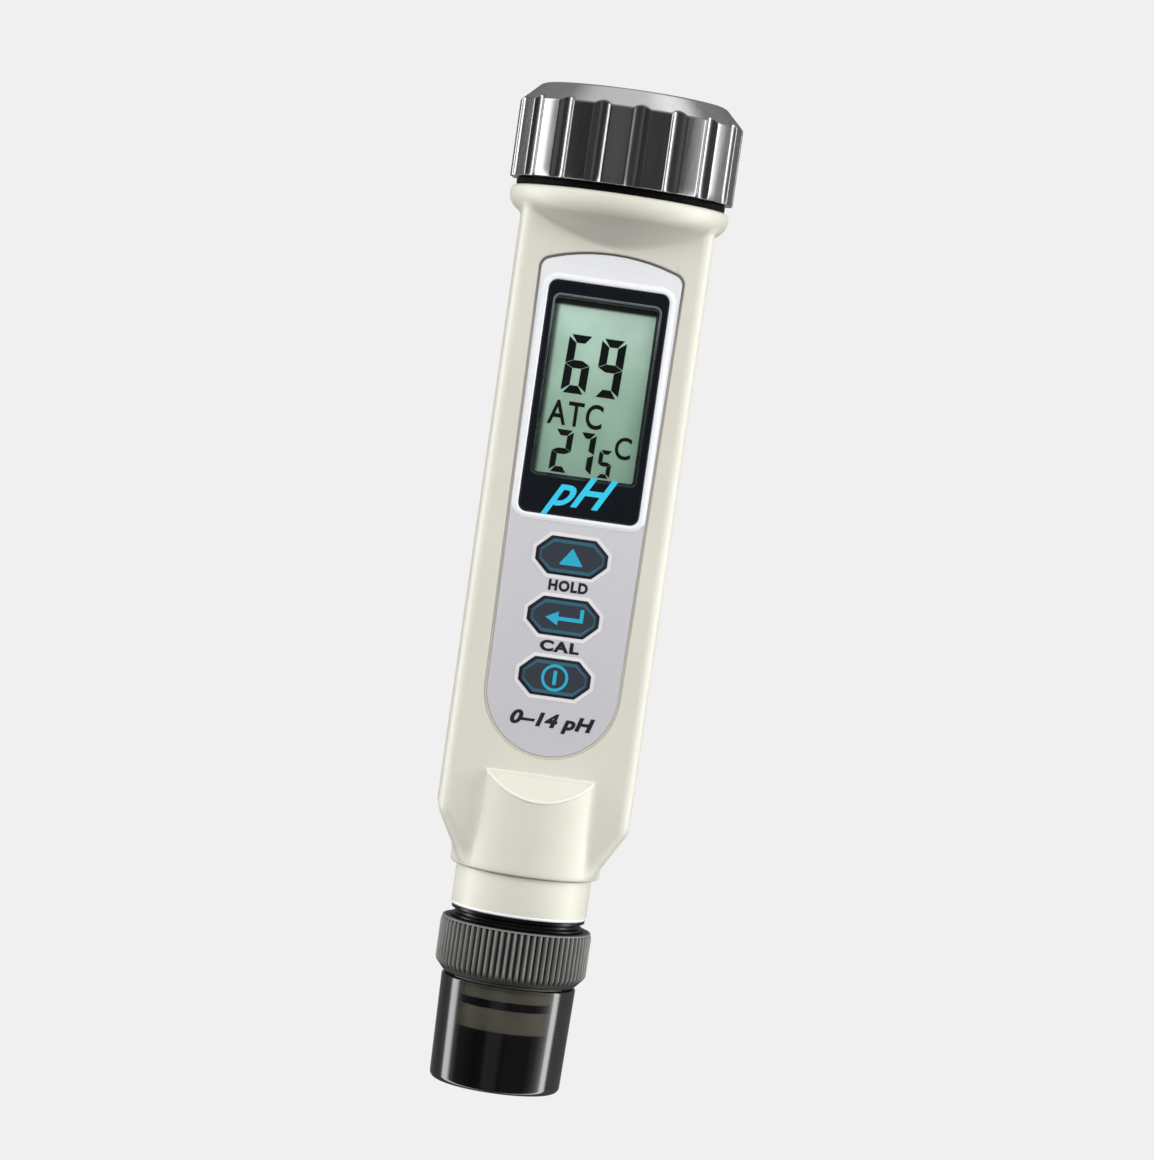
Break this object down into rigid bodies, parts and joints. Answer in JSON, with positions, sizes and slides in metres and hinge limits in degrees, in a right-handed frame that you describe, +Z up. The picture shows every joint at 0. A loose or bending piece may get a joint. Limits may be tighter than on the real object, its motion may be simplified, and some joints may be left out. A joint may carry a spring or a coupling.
{
  "type": "pen-type pH meter",
  "caption": "Pen-type pH meter: flat-faced tube with a display and keys, a fluted screw cap over its button cells, and a plug-in glass electrode under a smoked storage cap.",
  "frame": {"origin": "centre of the probe cap's flat base, on the pen's long axis", "axes": "+Z up the pen to the battery cap, -Y out of the display face, +X to the right as the display is read"},
  "size_m": [0.04, 0.04, 0.1783],
  "materials": {
    "white_plastic": "off-white moulded plastic, satin",
    "silver_label": "printed silver-grey film",
    "white_trim": "white, glossy",
    "black_plastic": "black, glossy",
    "grey_plastic": "mid-grey, satin",
    "key_plastic": "dark blue-grey with a teal outline",
    "chrome_cap": "dark bright plating",
    "seal_rubber": "black",
    "grey_rubber": "grey silicone",
    "smoked_plastic": "smoked clear plastic",
    "clear_plastic": "clear",
    "lcd": "grey-green liquid-crystal panel with dark segments",
    "metal_foil": "silvered film",
    "circuit_board": "green solder mask",
    "steel": "nickel-plated",
    "gold_contact": "gold-plated contact",
    "electrode_glass": "thin pH glass",
    "ceramic": "porous",
    "sponge": "damp storage sponge"
  },
  "bodies": {
    "housing": {"amplifier_chip": "black_plastic", "battery_base_contact": "steel", "battery_side_contact": "gold_contact", "battery_tray": "black_plastic", "board_screw_left": "steel", "board_screw_right": "steel", "button_cell_1": "steel", "button_cell_2": "steel", "button_cell_3": "steel", "button_cell_4": "steel", "cap_seal": "seal_rubber", "chassis": "black_plastic", "circuit_board": "circuit_board", "clock_crystal": "steel", "collar_seal": "seal_rubber", "display_frame": "black_plastic", "display_lens": "clear_plastic", "end_collar": "white_plastic", "face_label": "silver_label", "housing": "white_plastic", "key_mat": "grey_rubber", "lcd_glass": "lcd", "lcd_holder": "black_plastic", "lcd_reflector": "metal_foil", "processor_chip": "black_plastic", "sensor_socket": "black_plastic", "sensor_wire_1": "seal_rubber", "sensor_wire_2": "seal_rubber", "sensor_wire_3": "seal_rubber", "socket_contact_1": "gold_contact", "socket_contact_2": "gold_contact", "socket_contact_3": "gold_contact", "window_rim": "white_trim", "zebra_strip": "seal_rubber"},
    "cap_contact": {"cap_contact_plate": "gold_contact", "battery_spring": "steel"},
    "battery_cap": {"battery_cap": "chrome_cap", "cap_liner": "black_plastic"},
    "electrode": {"electrode_body": "black_plastic", "electrode_guard": "black_plastic", "glass_bulb": "electrode_glass", "reference_junction": "ceramic", "temperature_probe": "steel", "plug_seal": "seal_rubber", "cap_ring": "seal_rubber", "electrode_pin_1": "gold_contact", "electrode_pin_2": "gold_contact", "electrode_pin_3": "gold_contact"},
    "lock_ring": {"lock_ring": "grey_plastic"},
    "probe_cap": {"probe_cap": "smoked_plastic", "storage_sponge": "sponge"},
    "key_hold": {"key_hold": "key_plastic"},
    "key_cal": {"key_cal": "key_plastic"},
    "key_power": {"key_power": "key_plastic"}
  },
  "joints": [
    {"name": "battery_cap_lift", "type": "slide", "parent": "housing", "child": "cap_contact", "axis": [0, 0, 1], "range_m": [0, 0.0097]},
    {"name": "battery_cap_turn", "type": "hinge", "parent": "cap_contact", "child": "battery_cap", "pos_m": [0, 0, 0.1609], "axis": [0, 0, 1], "range_deg": [0, 1080]},
    {"name": "electrode_draw", "type": "slide", "parent": "housing", "child": "electrode", "axis": [0, 0, -1], "range_m": [0, 0.0023]},
    {"name": "lock_ring_turn", "type": "hinge", "parent": "electrode", "child": "lock_ring", "pos_m": [0, 0, 0.0243], "axis": [0, 0, -1], "range_deg": [0, 540]},
    {"name": "probe_cap_pull", "type": "slide", "parent": "electrode", "child": "probe_cap", "axis": [0, 0, -1], "range_m": [0, 0.03]},
    {"name": "key_hold_press", "type": "slide", "parent": "housing", "child": "key_hold", "axis": [0, 1, 0], "range_m": [0, 0.0005]},
    {"name": "key_cal_press", "type": "slide", "parent": "housing", "child": "key_cal", "axis": [0, 1, 0], "range_m": [0, 0.0005]},
    {"name": "key_power_press", "type": "slide", "parent": "housing", "child": "key_power", "axis": [0, 1, 0], "range_m": [0, 0.0005]}
  ],
  "couplings": [
    {"joint": "battery_cap_lift", "follows": "battery_cap_turn", "m_per_rad": 0.0005093},
    {"joint": "electrode_draw", "follows": "lock_ring_turn", "m_per_rad": 0.00023873}
  ]
}
